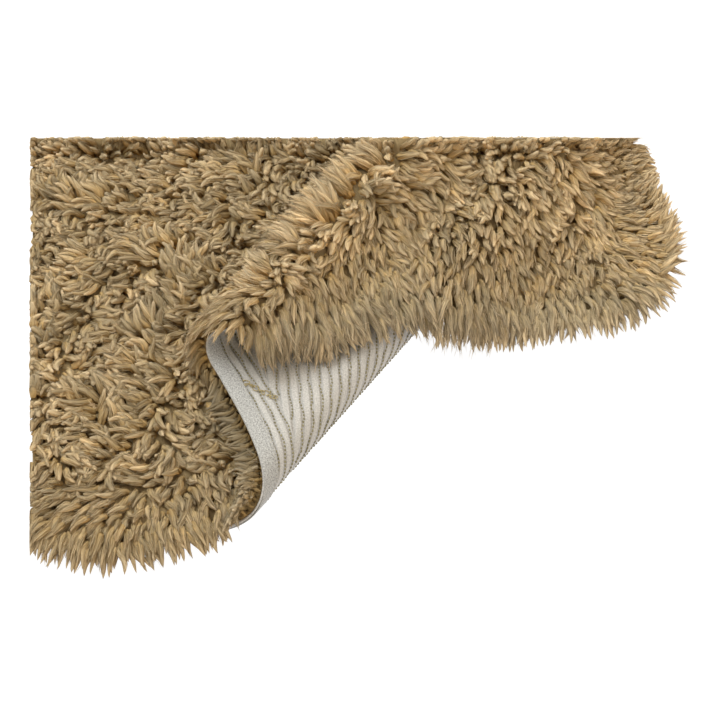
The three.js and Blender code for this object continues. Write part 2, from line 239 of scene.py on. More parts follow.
EDGE, EDGE_LONG = even_steps(smooth_curve(to_fold(np.array(LOBED_EDGE, float)), 6000), 1601)
EDGE_RUN = np.linspace(0, EDGE_LONG, len(EDGE))
EDGE_TANGENT = unit(np.gradient(EDGE, axis=0))
EDGE_OUT = np.stack([EDGE_TANGENT[:, 1], -EDGE_TANGENT[:, 0]], -1)
TIP = int(np.argmax(EDGE[:, 0]))
TIP_PATH = EDGE[TIP, 0]


def front_side(path):
    return np.interp(path, EDGE[: TIP + 1, 0], EDGE[: TIP + 1, 1])


def right_side(path):
    return np.interp(path, EDGE[TIP:, 0][::-1], EDGE[TIP:, 1][::-1])


def left_cut_at(path):
    slant = LEFT_CUT["slant"]
    across = path + FIRST_FROM
    return (LEFT_CUT["right"] + across * (slant * ACROSS[1] - ACROSS[0])) / (ALONG[0] - slant * ALONG[1])


def back_cut_at(path):
    across, high, head = fold_at(np.ravel(path))
    reach = []
    for height in (0, PILE_FOOT + PILE_HIGH):
        away = BACK_CUT["away"] - BACK_CUT["forward_per_height"] * (high + np.cos(head) * height)
        reach.append((away - (across - np.sin(head) * height) * ACROSS[1]) / ALONG[1])
    return np.minimum(*reach)


def low_end(path):
    front = front_side(path)
    return np.where(path < FLOOR_END, np.maximum(front, left_cut_at(path)), front)


def high_end(path):
    back = back_cut_at(path)
    return np.where(path < EDGE[-1, 0], back, np.minimum(back, right_side(path)))


# How far a place of the flat cut is from the lobed edge, and the nearest point of the edge
def edge_info(path, along):
    return nearest(np.stack([np.ravel(path), np.ravel(along)], -1), EDGE)


# The path length where the cut at the left meets the cut at the back
LEFT_TIP = next(p for p in np.arange(-40, 80, 0.05) if left_cut_at(p) < back_cut_at([p])[0])


# How far the backing sinks to the floor inside the tape
def sag(path, along):
    inside = (edge_info(path, along)[0] - SAG_FROM) / SAG_RUN
    return TAPE_DEPTH * smooth(inside) * (1 - smooth(fold_at(np.ravel(path))[1] / SAG_GONE))


# Soft noise from a few waves, from about -1 to 1

def waves(xy, size, seed, count=6):
    dice = np.random.default_rng(seed)
    total = np.zeros(len(xy))
    for _ in range(count):
        way = dice.uniform(0, TURN)
        pitch = size * dice.uniform(0.7, 1.5)
        turn = (xy @ heading(way)) * TURN / pitch
        total += np.sin(turn + dice.uniform(0, TURN) + 1.2 * np.sin(turn * 0.53 + dice.uniform(0, TURN)))
    return total / math.sqrt(count) / 0.9


# Making meshes

def add_object(name, data):
    obj = bpy.data.objects.new(name, data)
    bpy.context.scene.collection.objects.link(obj)
    return obj


# All values of one kind into Blender data at once
def fill(data, key, values, kind=np.float32):
    data.foreach_set(key, np.ascontiguousarray(values, kind).ravel())


def add_mesh(name, points, loops, sizes, uv, look, material):
    mesh = bpy.data.meshes.new(name)
    mesh.vertices.add(len(points))
    mesh.loops.add(len(loops))
    mesh.polygons.add(len(sizes))
    fill(mesh.vertices, "co", (points + SHIFT) * MM)
    fill(mesh.loops, "vertex_index", loops, np.int32)
    fill(mesh.polygons, "loop_start", np.cumsum(sizes) - sizes, np.int32)
    fill(mesh.polygons, "use_smooth", np.ones(len(sizes)), bool)
    fill(mesh.uv_layers.new(name="UVMap").data, "uv", uv)
    if look is not None:
        layer = mesh.color_attributes.new(name="look", type="FLOAT_COLOR", domain="POINT")
        fill(layer.data, "color", look)
    mesh.update(calc_edges=True)
    mesh.validate()
    mesh.materials.append(material)
    obj = add_object(name, mesh)
    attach(obj, "root")
    return obj


# Closed tapering tubes, one per row of centres: radius is given for each ring and side, and the
# last centre is the pointed tip
def tubes(centres, side, up, radius, tint, uv_long, hue):
    count, rings = centres.shape[:2]
    body = rings - 1
    sides = radius.shape[2]
    angle = np.arange(sides) * TURN / sides
    ring = (
        centres[:, :body, None]
        + side[:, :body, None] * (np.cos(angle) * radius[:, :body])[..., None]
        + up[:, :body, None] * (np.sin(angle) * radius[:, :body])[..., None]
    )
    per = body * sides + 1
    points = np.concatenate([ring.reshape(count, -1, 3), centres[:, -1:]], 1).reshape(-1, 3)
    j = np.arange(sides)
    nxt = (j + 1) % sides
    k = np.arange(body - 1)[:, None] * sides
    quads = np.stack([k + j, k + nxt, k + sides + nxt, k + sides + j], -1).reshape(-1, 4)
    last = (body - 1) * sides
    tips = np.stack([last + j, last + nxt, np.full(sides, per - 1)], -1)
    root = j[::-1]
    pattern = np.concatenate([quads.ravel(), tips.ravel(), root])
    sizes = np.concatenate([np.full(len(quads), 4), np.full(sides, 3), [sides]])
    loops = (np.arange(count)[:, None] * per + pattern).ravel()
    u = np.concatenate(
        [
            np.tile(np.stack([j, j + 1, j + 1, j], -1).ravel(), body - 1),
            np.stack([j, j + 1, j + 0.5], -1).ravel(),
            root,
        ]
    ) / sides
    ring_of = np.concatenate([np.repeat(np.arange(body), sides), [body]])
    v = ring_of[pattern] / body
    uv = np.stack([np.tile(u, count), (v[None] * uv_long[:, None]).ravel()], -1)
    colour = np.empty((count, per, 4))
    colour[..., 0] = tint[:, None]
    colour[..., 1] = (ring_of / body)[None]
    colour[..., 2] = hue[:, None]
    colour[..., 3] = 1
    return points, loops, np.tile(sizes, count), uv, colour.reshape(-1, 4)


# The tufting rows: straight over the flat cut, and three that follow the tape

ROW_PITCH = 10.8
ROW_DEGREES = 12.0
ROW_OFFSET = -157.0
EDGE_ROWS = (TAPE_WIDTH + 0.9, TAPE_WIDTH + 10.6, TAPE_WIDTH + 20.4)
ROWS_FROM = EDGE_ROWS[-1] + 6
GROOVE_WIDE = 3.0
EDGE_REACH = 200.0
ROW_WAY = heading(math.radians(ROW_DEGREES))
ROW_ASIDE = np.array([-ROW_WAY[1], ROW_WAY[0]])

# Materials: each is a graph of nodes, of the few kinds that this scene uses

class Graph:
    def __init__(self, name):
        self.material = bpy.data.materials.new(name)
        self.material.use_nodes = True
        self.tree = self.material.node_tree

    # Numbers, colours or other nodes' outputs into the sockets with these names or places
    def feed(self, sockets, values):
        for name, value in values.items():
            if isinstance(value, (int, float)):
                sockets[name].default_value = value
            elif isinstance(value, tuple):
                sockets[name].default_value = (*value, 1)
            elif value is not None:
                self.tree.links.new(value, sockets[name])

    def finish(self, values):
        self.feed(self.tree.nodes["Principled BSDF"].inputs, values)
        return self.material

    def add(self, kind, values, **settings):
        node = self.tree.nodes.new("ShaderNode" + kind)
        for key, value in settings.items():
            setattr(node, key, value)
        self.feed(node.inputs, values)
        return node.outputs

    def uv(self):
        return self.add("UVMap", {}, uv_map="UVMap")["UV"]

    def look(self):
        return self.split("Color", self.add("VertexColor", {}, layer_name="look")["Color"])

    def geometry(self, kind):
        return self.add("NewGeometry", {})[kind]

    def split(self, kind, value):
        return self.add("Separate" + kind, {0: value})

    def join(self, kind, *values):
        return self.add("Combine" + kind, dict(enumerate(values)))[0]

    def maths(self, operation, *values):
        return self.add("Math", dict(enumerate(values)), operation=operation)[0]

    def product(self, first, *others):
        for value in others:
            first = self.maths("MULTIPLY", first, value)
        return first

    def mix(self, factor, a, b, blend="MIX"):
        return self.add("Mix", {0: factor, 6: a, 7: b}, data_type="RGBA", blend_type=blend)[2]

    def shaded(self, colour, tone):
        return self.mix(1.0, colour, self.join("Color", tone, tone, tone), "MULTIPLY")

    def bump(self, height, strength, distance, normal=None):
        values = {"Height": height, "Strength": strength, "Distance": distance, "Normal": normal}
        return self.add("Bump", values)["Normal"]

    def noise(self, vector, scale, detail=3, rough=0.6):
        values = {"Vector": vector, "Scale": scale, "Detail": detail, "Roughness": rough}
        return self.add("TexNoise", values)["Fac"]

    def to_range(self, value, low, high, out_low, out_high, kind="LINEAR"):
        values = {"Value": value, "From Min": low, "From Max": high, "To Min": out_low, "To Max": out_high}
        return self.add("MapRange", values, interpolation_type=kind)["Result"]


# Wool from its darker root to its pale tip, each in a pale and a warm hue. The darker root is partly the
# wool's own colour and partly painted shade deep in the pile, and where the wool faces sideways or down its
# colour is multiplied by a warm brown as painted shade

WOOL_ROOT_WITH_PAINTED_SHADE = ((0.43, 0.32, 0.17), (0.50, 0.275, 0.05))
WOOL_MID = ((0.60, 0.490, 0.325), (0.55, 0.395, 0.195))
WOOL_TIP = ((0.69, 0.580, 0.425), (0.61, 0.455, 0.265))
# Painted shade: the warm brown that the wool's colour is multiplied by where it faces sideways or down
WOOL_PAINTED_SHADE = (1.0, 0.83, 0.60)
WOOL_SHEEN = (0.9, 0.8, 0.62)
STREAKS = dict(around=9.0, slant=2.5, along=2.2, apart=97.0, scale=1.3, dark=0.79, pale=1.17, deep=0.0022)


def wool_material(name, darker=1.0):
    g = Graph(name)
    tint, tip, hue = g.look()
    u, v = g.split("XYZ", g.uv())[:2]
    slanted = g.maths("ADD", g.product(u, STREAKS["around"]), g.product(v, STREAKS["slant"]))
    where = g.join("XYZ", slanted, g.product(v, STREAKS["along"]), g.product(hue, STREAKS["apart"]))
    fibres = g.noise(where, STREAKS["scale"], detail=4, rough=0.72)
    shade = g.to_range(fibres, 0.34, 0.66, STREAKS["dark"] * darker, STREAKS["pale"] * darker)
    # The root colour: partly the wool's own, partly painted shade deep in the pile
    root, middle, end = (g.mix(hue, *pair) for pair in (WOOL_ROOT_WITH_PAINTED_SHADE, WOOL_MID, WOOL_TIP))
    low = g.mix(g.to_range(tip, 0.1, 0.6, 0, 1), root, middle)
    colour = g.mix(g.to_range(tip, 0.45, 1.0, 0, 1), low, end)
    # Painted shade: where the wool faces sideways or down, its colour is multiplied towards a warm brown,
    # less at the tips and in the paler hues
    upward = g.split("XYZ", g.geometry("Normal"))[2]
    down = g.product(
        g.to_range(upward, 0.55, -0.3, 0, 1),
        g.to_range(tip, 0.45, 1.0, 1, 0.5),
        g.to_range(hue, 0.2, 0.5, 0.3, 1),
    )
    colour = g.mix(down, colour, g.mix(1.0, colour, WOOL_PAINTED_SHADE, "MULTIPLY"))
    return g.finish({
        "Base Color": g.shaded(colour, g.product(shade, tint)),
        "Normal": g.bump(fibres, 1.0, STREAKS["deep"]),
        "Roughness": 0.85,
        "Diffuse Roughness": 1.0,
        "Specular IOR Level": 0.03,
        "Sheen Weight": 0.04,
        "Sheen Roughness": 0.5,
        "Sheen Tint": WOOL_SHEEN,
    })


# Cloth with a fine weave and broad uneven patches, and with the grooves of the rows if it has them: bumped,
# and darkened in colour as painted shade

PATCHES_PER_WEAVE = 1 / 40
WEAVE_DEEP = 0.0006
GROOVE_DEEP = 0.0016
GROOVE_PAINTED_SHADE = 0.84


def cloth_material(name, colour, weave, contrast, rows=False):
    g = Graph(name)
    uv = g.uv()
    fine = g.noise(uv, weave, detail=2, rough=0.7)
    broad = g.noise(uv, weave * PATCHES_PER_WEAVE)
    tone = g.product(
        g.to_range(fine, 0.3, 0.7, 1 - contrast, 1 + contrast),
        g.to_range(broad, 0.3, 0.7, 0.94, 1.03),
    )
    normal = None
    if rows:
        rib = ribs(g, uv)
        # Painted shade: the grooves are darkened in colour as well as bumped
        tone = g.product(tone, g.to_range(rib, 0, 1, GROOVE_PAINTED_SHADE, 1.0))
        normal = g.bump(rib, 1.0, GROOVE_DEEP)
    return g.finish({
        "Base Color": g.shaded(colour, tone),
        "Normal": g.bump(fine, 0.6, WEAVE_DEEP, normal),
        "Roughness": 0.9,
        "Specular IOR Level": 0.15,
        "Sheen Weight": 0.1,
    })


# How far a point of the backing rises from the grooves of the tufting rows, from 0 to 1: straight
# rows over the flat cut, and a few that follow the tape at set distances from the edge

FAR = 50.0


def ribs(g, uv):
    x, y = g.split("XYZ", uv)[:2]
    distance = g.product(g.look()[0], EDGE_REACH)
    across = g.product(x, ROW_ASIDE[0] / MM / ROW_PITCH)
    away = g.product(y, ROW_ASIDE[1] / MM / ROW_PITCH)
    row = g.maths("ADD", g.maths("ADD", across, away), -ROW_OFFSET / ROW_PITCH)
    off = g.product(g.maths("PINGPONG", row, 0.5), ROW_PITCH)
    beside = g.product(g.maths("LESS_THAN", distance, ROWS_FROM - GROOVE_WIDE), FAR)
    off = g.maths("ADD", off, beside)
    for inset in EDGE_ROWS:
        off = g.maths("MINIMUM", off, g.maths("ABSOLUTE", g.maths("SUBTRACT", distance, inset)))
    return g.to_range(off, 0, GROOVE_WIDE, 0, 1, "SMOOTHSTEP")


THREAD_MOTTLE = 420


def thread_material(name, colour):
    g = Graph(name)
    mottle = g.noise(g.geometry("Position"), THREAD_MOTTLE, detail=2)
    tone = g.to_range(mottle, 0.3, 0.7, 0.55, 1.25)
    return g.finish({"Base Color": g.shaded(colour, tone), "Roughness": 0.9})


wool = wool_material("long_wool")
# Wool dimmed as painted shade, for the matted foot deep between the locks
shaded_mat_wool = wool_material("wool_painted_shade", darker=0.62)
canvas = cloth_material("cotton_canvas", (0.476, 0.460, 0.449), 600, 0.26, rows=True)
twill = cloth_material("cotton_twill", (0.374, 0.369, 0.366), 650, 0.5)
row_yarn = thread_material("tufting_yarn", (0.255, 0.225, 0.125))
loose_yarn = thread_material("loose_yarn", (0.50, 0.41, 0.22))
sewing = thread_material("sewing_thread", (0.52, 0.49, 0.43))

# Sheets: grids of columns across the path and rows along it, closed by a wall round the rim

def sheet_faces(columns, rows):
    i, j = np.meshgrid(np.arange(columns - 1), np.arange(rows - 1), indexing="ij")
    a = (i * rows + j).ravel()
    faces = np.stack([a, a + rows, a + rows + 1, a + 1], -1)
    top = columns * rows
    rim = np.concatenate(
        [
            np.arange(columns) * rows,
            (columns - 1) * rows + np.arange(1, rows),
            np.arange(columns - 2, -1, -1) * rows + rows - 1,
            np.arange(rows - 2, 0, -1),
        ]
    )
    after = np.roll(rim, -1)
    walls = np.stack([rim, after, after + top, rim + top], -1)
    loops = np.concatenate([faces[:, ::-1].ravel(), (faces + top).ravel(), walls.ravel()])
    return loops, np.full(len(loops) // 4, 4)


# The share along a lock and the hue that the mat's wool has all over

SHEET_TIP = 0.3
SHEET_HUE = 0.35


def add_sheet(name, shape, under, upper, uv, look, material):
    loops, sizes = sheet_faces(*shape)
    points = np.concatenate([under, upper])
    tint = None
    if look is not None:
        tint = np.ones((len(points), 4))
        tint[:, 0] = np.tile(look, 2)
        tint[:, 1] = SHEET_TIP
        tint[:, 2] = SHEET_HUE
    return add_mesh(name, points, loops, sizes, np.concatenate([uv, uv])[loops], tint, material)


END_SLIVER = 0.4


def grid(columns, row_steps):
    low, high = low_end(columns), high_end(columns)
    middle = (low + high) / 2
    half = np.maximum((high - low) / 2, END_SLIVER)
    low, high = middle - half, middle + half
    share = row_steps / row_steps[-1]
    along = low[:, None] + (high - low)[:, None] * share[None]
    return np.repeat(columns[:, None], len(share), 1), along


# Even steps over each span, given as its start, end and step
def steps(*spans):
    out = []
    for start, end, step in spans:
        out.append(np.linspace(start, end, max(2, int(round((end - start) / step)) + 1))[:-1])
    return np.concatenate([*out, [spans[-1][1]]])


# Columns of a sheet on the floor, over the folds, down the slope and round the tip
def columns_over(start, end, tip_round, sizes):
    stops = (start, FLOOR_END, STARTS["over the flap"], TIP_PATH - tip_round, end)
    return steps(*zip(stops[:-1], stops[1:], sizes))


# What takes the flat cut's coordinates to the frame's: the two have the same middle on the floor
def fit_to_frame():
    path, along = grid(steps((LEFT_TIP, TIP_PATH, 2.0)), np.linspace(0, 1, 40))
    points = place(path, along, np.zeros(path.size))
    low = np.array(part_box("base_cloth")[0]) / MM
    high = np.array(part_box("base_cloth")[1]) / MM
    both = (low + high) / 2 - (points.min(0) + points.max(0)) / 2
    return np.array([both[0], both[1], 0.0])


SHIFT = fit_to_frame()

# The woven backing, faintly puckered between its rows where it is lifted off the floor

PUCKER_HIGH = 0.35
PUCKER_SIZE = 26
PUCKERS_FROM = 6.0
PUCKERS_RISE = 14.0


def make_backing():
    columns = columns_over(LEFT_TIP, TIP_PATH, tip_round=20, sizes=(14.0, 5.0, 12.0, 2.5))
    path, along = grid(columns, steps((0, 60, 4.0), (60, 240, 9.0), (240, 520, 20.0)))
    flat = to_flat(path.ravel(), along.ravel())
    distance = edge_info(path, along)[0]
    depth = sag(path, along)
    puckers = np.maximum(PUCKER_HIGH * waves(flat, PUCKER_SIZE, 5), 0)
    lift = smooth((distance - PUCKERS_FROM) / PUCKERS_RISE) * (fold_at(path.ravel())[1] > SAG_GONE)
    under = place(path, along, puckers * lift - depth)
    upper = place(path, along, BASE_THICK - depth)
    look = np.minimum(distance / EDGE_REACH, 1)
    obj = add_sheet("woven_backing", path.shape, under, upper, flat * MM, look, canvas)
    return obj, columns, flat


backing, cut_columns, flat_xy = make_backing()
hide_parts("base_cloth")


# Even places along the lobed edge, at a set distance inside it, where it isn't cut away
def edge_stations(step, inset=0.0):
    run = np.arange(0, EDGE_LONG, step)
    out = unit(point_at(run, EDGE_RUN, EDGE_OUT))
    at = point_at(run, EDGE_RUN, EDGE) - out * inset
    ok = (at[:, 1] < back_cut_at(at[:, 0])) & ((at[:, 0] > FLOOR_END) | (at[:, 1] > left_cut_at(at[:, 0])))
    return at[ok], out[ok], run[ok]


# The tape, with rounded edges and a faint ripple where it is eased round the lobes

TAPE_STEP = 3.0
TAPE_SHARES = np.array([0, 0.04, 0.25, 0.5, 0.75, 0.96, 1.0])
TAPE_ROUNDING = 0.35
RIPPLE_HIGH = 0.12
RIPPLE_LONG = 9.0


def tape():
    at, out, run = edge_stations(TAPE_STEP)
    inward = TAPE_SHARES * TAPE_WIDTH
    path = at[:, :1] - out[:, :1] * inward
    along = at[:, 1:] - out[:, 1:] * inward
    to_side = np.minimum(TAPE_SHARES, 1 - TAPE_SHARES)
    soft = TAPE_ROUNDING * (1 - np.minimum(1, to_side / 0.06))
    crown = TAPE_SHARES * (1 - TAPE_SHARES) * 4
    ripple = np.abs(RIPPLE_HIGH * np.sin(run / RIPPLE_LONG))
    outer = -TAPE_DEPTH + soft[None] + ripple[:, None] * crown[None]
    inner = np.full_like(outer, -TAPE_CLEAR) - soft[None] * 0.4
    uv = np.stack([np.repeat(run, len(inward)), np.tile(inward, len(run))], -1) * MM
    return add_sheet(
        "twill_tape", path.shape, place(path, along, outer), place(path, along, inner), uv, None, twill
    )


binding = tape()
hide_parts("edge_tape")


# Short lengths of yarn or thread that lie on the backing: starts and ends are on the flat cut

STITCH_SHARES = np.array([0.0, 0.25, 0.5, 0.75, 1.0])
STITCH_PLUMP = np.array([0.45, 1.0, 1.1, 0.9, 0.2])
THREAD_SIDES = 3


def stitches(name, start, end, height, radius, material):
    count = len(start)
    middle = start[:, None] + (end - start)[:, None] * STITCH_SHARES[None, :, None]
    rise = height + radius * 1.1 * (1 - np.sin(STITCH_SHARES * math.pi))
    path, along = middle[..., 0].ravel(), middle[..., 1].ravel()
    centres = place(path, along, np.tile(rise, count)).reshape(count, len(STITCH_SHARES), 3)
    way = unit(np.gradient(centres, axis=1))
    out = directions(path)[2].reshape(centres.shape)
    side = unit(np.cross(way, out))
    up = unit(np.cross(side, way))
    size = (radius * STITCH_PLUMP)[None, :, None] * np.ones((count, 1, THREAD_SIDES))
    plain = np.ones(count)
    return add_mesh(name, *tubes(centres, side, up, size, plain, plain, plain), material)


STITCH_PITCH = 3.7
STITCH_LONG = 3.3
ROW_WAVER = 0.9
WAVER_LONG = 5.5
SIDE_JITTER = 0.35
END_JITTER = 0.25
ROWS = range(-60, 60)
ROW_SPAN = (-620, 700)
BARE_PATH = (FLOOR_END + 6, ROLL + 20)
BARE_ALONG = 60.0


# The tufting rows where the backing shows, each a little wavy
def row_stitches():
    starts, ends = [], []
    for row in ROWS:
        aside = ROW_OFFSET + row * ROW_PITCH
        run = np.arange(*ROW_SPAN, STITCH_PITCH)
        jitter = rng.normal(0, SIDE_JITTER, (len(run), 1))
        waver = ROW_WAVER * np.sin(run / WAVER_LONG + row * 1.7)[:, None]
        xy = run[:, None] * ROW_WAY + (aside + waver + jitter) * ROW_ASIDE
        starts.append(to_fold(xy))
        ends.append(to_fold(xy + ROW_WAY * STITCH_LONG + rng.normal(0, END_JITTER, (len(run), 2))))
    starts, ends = np.concatenate(starts), np.concatenate(ends)
    seen = within(starts[:, 0], *BARE_PATH) & within(starts[:, 1], front_side(starts[:, 0]), BARE_ALONG)
    starts, ends = starts[seen], ends[seen]
    seen = edge_info(*starts.T)[0] > ROWS_FROM
    starts, ends = [starts[seen]], [ends[seen]]
    for inset in EDGE_ROWS:
        at, out, run = edge_stations(STITCH_PITCH, inset)
        at = at + out * (ROW_WAVER * np.sin(run / WAVER_LONG + inset))[:, None]
        way = np.stack([-out[:, 1], out[:, 0]], -1)
        bare = within(at[:, 0], *BARE_PATH)
        starts.append(at[bare])
        ends.append(at[bare] + way[bare] * STITCH_LONG)
    return np.concatenate(starts), np.concatenate(ends)


# A short end of yarn that lies curled on the backing beside the tape

TANGLE = dict(start=(634.0, -129.0), end=(598.0, -126.0), loops=9, wide=3.2, pieces=120)


def tangle():
    t = np.linspace(0, 1, TANGLE["pieces"])[:, None]
    at = lerp(np.array(TANGLE["start"]), np.array(TANGLE["end"]), t)
    turn = t * TANGLE["loops"] * TURN
    size = TANGLE["wide"] * (0.6 + 0.4 * np.sin(turn * 0.37))
    at = at + size * np.concatenate([np.cos(turn), np.sin(turn * 0.83)], 1) + rng.normal(0, 0.5, at.shape)
    return at[:-1], at[1:] + (at[1:] - at[:-1]) * 0.3


TAPE_STITCH_PITCH = 4.2
TAPE_STITCH_LONG = 3.0
TAPE_STITCH_INSET = 2.2


def tape_stitches():
    at, out, _ = edge_stations(TAPE_STITCH_PITCH, TAPE_WIDTH - TAPE_STITCH_INSET)
    way = np.stack([-out[:, 1], out[:, 0]], -1)
    return at[:-1], at[:-1] + way[:-1] * TAPE_STITCH_LONG


yarn_rows = stitches("tufting_rows", *row_stitches(), -0.15, 0.85, row_yarn)
yarn_end = stitches("loose_yarn_end", *tangle(), -1.3, 0.55, loose_yarn)
tape_sewing = stitches("tape_stitching", *tape_stitches(), -TAPE_DEPTH - 0.05, 0.28, sewing)

# The room that the pile has where the flap lies on it

FLAP = STRETCHES[2]
FLAP_LONG = FOLD[2]["long"]
PRESS_GAP = 5.0
COVERED_FROM = -128.0
COVERED_RUN = 34.0
HEM_OUT = 26.0
HEM_RUN = 30.0


def flap_high(across):
    run = np.clip((FLAP[1] - across) / (FLAP_LONG * -math.cos(FLAP[3])), 0, 1)
    return FLAP[2] + run * FLAP_LONG * math.sin(FLAP[3])


def covered(path, along):
    across = fold_at(path)[0]
    flap_path = FLAP[0] + (FLAP[1] - across) / -math.cos(FLAP[3])
    hem = front_side(np.maximum(flap_path, FLAP[0]))
    return smooth((along - hem + HEM_OUT) / HEM_RUN) * smooth((across - COVERED_FROM) / COVERED_RUN)


def pile_room(path, along):
    across = fold_at(path)[0]
    room = (flap_high(across) - 2 * PILE_FOOT - PRESS_GAP) / 2
    on_floor = lerp(PILE_HIGH, room, covered(path, along))
    on_roll = lerp(room, PILE_HIGH, smooth((path - ROLL) / (0.3 * (ROLL_END - ROLL))))
    in_bend = np.minimum(room, FOLD[1]["radius"] - PILE_FOOT - 3)
    return np.select([path < FLOOR_END, path < FLAP[0], path < ROLL], [on_floor, in_bend, room], on_roll)


# Keep points inside the two straight cuts of the piece, by as much as each lock is thick
def hold_inside_cuts(centres, thick):
    x, y, z = np.moveaxis(centres, -1, 0)
    high = z - TAPE_DEPTH
    y = np.minimum(y, BACK_CUT["away"] - BACK_CUT["forward_per_height"] * high - thick)
    left = LEFT_CUT["right"] - LEFT_CUT["slack"] + LEFT_CUT["slant"] * y
    left = left + LEFT_CUT["right_per_height"] * high
    return np.stack([np.maximum(x, left + thick), y, z], -1)


# The matted foot of the pile, which keeps the backing from showing between the locks; its wool is dimmed as
# painted shade for the deep gaps between them

MAT_HIGH = 12.5
MAT_AT_CUT = 29.5
MAT_INSET = 3.0
MAT_BUMPS = 1.5
MAT_UV = 0.05
BY_CUT = 0.3
NO_CUT = 99.0


def mat_grid():
    columns = columns_over(LEFT_TIP + 1, TIP_PATH - MAT_INSET, tip_round=14, sizes=(11.0, 6.0, 11.0, 3.0))
    path, along = grid(columns, np.linspace(0, 1, 46))
    low, high = along[:, :1], along[:, -1:]
    share = (along - low) / (high - low)
    inset = np.minimum(MAT_INSET, (high - low) * 0.3)
    at_back = (path > EDGE[-1, 0]) | (back_cut_at(path).reshape(path.shape) < high + 1)
    return path, low + inset + share * (high - low - inset - np.where(at_back, BY_CUT, inset))


# How high the mat stands: nearly to the top at the cuts, pressed where it lies under another layer
def mat_high(path, along):
    room = pile_room(path, along)
    pressed = smooth((PILE_HIGH - room) / 5)
    bumps = MAT_BUMPS * waves(to_flat(path, along), 16, 9)
    to_back = high_end(path) - along
    to_left = np.where(path < FLOOR_END, along - left_cut_at(path), NO_CUT)
    at_cut = smooth((8 - np.minimum(to_back, to_left + 3)) / 5)
    high = lerp(lerp(MAT_HIGH + bumps, MAT_AT_CUT, at_cut), room - 1.5, pressed * (1 - at_cut))
    return np.maximum(high * lerp(0.35, 1, smooth(edge_info(path, along)[0] / 16)), 2)


def mat():
    path, along = mat_grid()
    depth = sag(path, along)
    under = place(path, along, PILE_FOOT - depth)
    upper = place(path, along, PILE_FOOT + mat_high(path.ravel(), along.ravel()))
    uv = to_flat(path.ravel(), along.ravel()) * MAT_UV
    look = np.ones(path.size)
    return add_sheet("wool_mat", path.shape, under, hold_inside_cuts(upper, 0.8), uv, look, shaded_mat_wool)


wool_mat = mat()
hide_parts("wool_pile")

# Where the locks stand: jittered staggered rows over the flat cut, and closer rows along its edge

LOCK_PITCH = 9.0
ROLL_PITCH = 7.0
ROLL_PATH = (ROLL - 6, ROLL_END + 8)
RIM_ROWS = (dict(inset=1.2, pitch=6.6), dict(inset=4.4, pitch=7.0), dict(inset=8.0, pitch=7.4))
PARTING = 726.0
PARTING_ROWS = (-4.0, 0.5, 5.0)
PARTING_PITCH = 7.0
CUT_ROWS = (1.8, 5.5, 9.5)
CUT_PITCH = 6.6
CUT_CLEAR = CUT_ROWS[-1] + 3
RIM_CLEAR = 11.0


def staggered(pitch):
    rows = np.arange(-700, 700, pitch * math.sqrt(3) / 2)
    spots = []
    for i, row in enumerate(rows):
        run = np.arange(-700, 800, pitch) + (i % 2) * pitch / 2
        spots.append(np.stack([run, np.full(len(run), row)], -1))
    xy = np.concatenate(spots)
    return to_fold(xy + rng.normal(0, pitch * 0.18, xy.shape))


# The spots that lie on the flat cut, clear of its cut at the back and of its lobed edge
def on_cut(at, from_back=CUT_CLEAR, from_edge=RIM_CLEAR):
    at = at[within(at[:, 0], LEFT_TIP, TIP_PATH)]
    at = at[within(at[:, 1], low_end(at[:, 0]), high_end(at[:, 0]) - from_back)]
    return at[edge_info(*at.T)[0] > from_edge]


# Closer rows along the parting, where the pile opens to both sides
def parting_rows():
    path, along = [], []
    for n, aside in enumerate(PARTING_ROWS):
        run = np.arange(-250, 400, PARTING_PITCH) + n * PARTING_PITCH / 3
        path.append(PARTING + aside + rng.normal(0, 1.2, len(run)))
        along.append(run)
    return on_cut(np.stack([np.concatenate(path), np.concatenate(along)], -1))


# Closer rows along the cut at the back, where nothing behind it covers the foot of the pile
def cut_rows():
    rows = []
    for inset in CUT_ROWS:
        path = np.arange(LEFT_TIP + inset, TIP_PATH, CUT_PITCH * ALONG[1])
        rows.append(on_cut(np.stack([path, back_cut_at(path) - inset], -1), from_back=0))
    return rows


def lock_roots():
    everywhere, closer = staggered(LOCK_PITCH), staggered(ROLL_PITCH)
    everywhere = everywhere[~within(everywhere[:, 0], *ROLL_PATH)]
    at = on_cut(np.concatenate([everywhere, closer[within(closer[:, 0], *ROLL_PATH)]]))
    rim = [edge_stations(row["pitch"], row["inset"])[0] for row in RIM_ROWS]
    return np.concatenate([at, *rim, *cut_rows(), parting_rows()])


# The spots without those where the flap lies close on the pile, so that a lock wouldn't show
def showing(at):
    path, along = at.T
    pressed = (pile_room(path, along) < PILE_HIGH - 4) & (path < ROLL + 2)
    deep = (edge_info(path, along)[0] > 32) & (high_end(path) - along > 24)
    return at[~(pressed & deep)]


# Which way the locks lean: wandering over the flat cut, but out over the edge, to both sides of the
# parting and away over the cut at the back

LEAN_DEGREES = dict(floor=195.0, flap=275.0)
LEAN_WANDER = dict(floor=65.0, flap=26.0, fine=25.0)
EDGE_PULL = dict(floor=60.0, slope=90.0)
PARTING_WAY = np.array([-1.0, 0.15])
BACK_WAY = np.array([ACROSS[1], ALONG[1]])


def turn_toward(lean, share, way):
    return unit(lean * (1 - share)[:, None] + way * share[:, None])


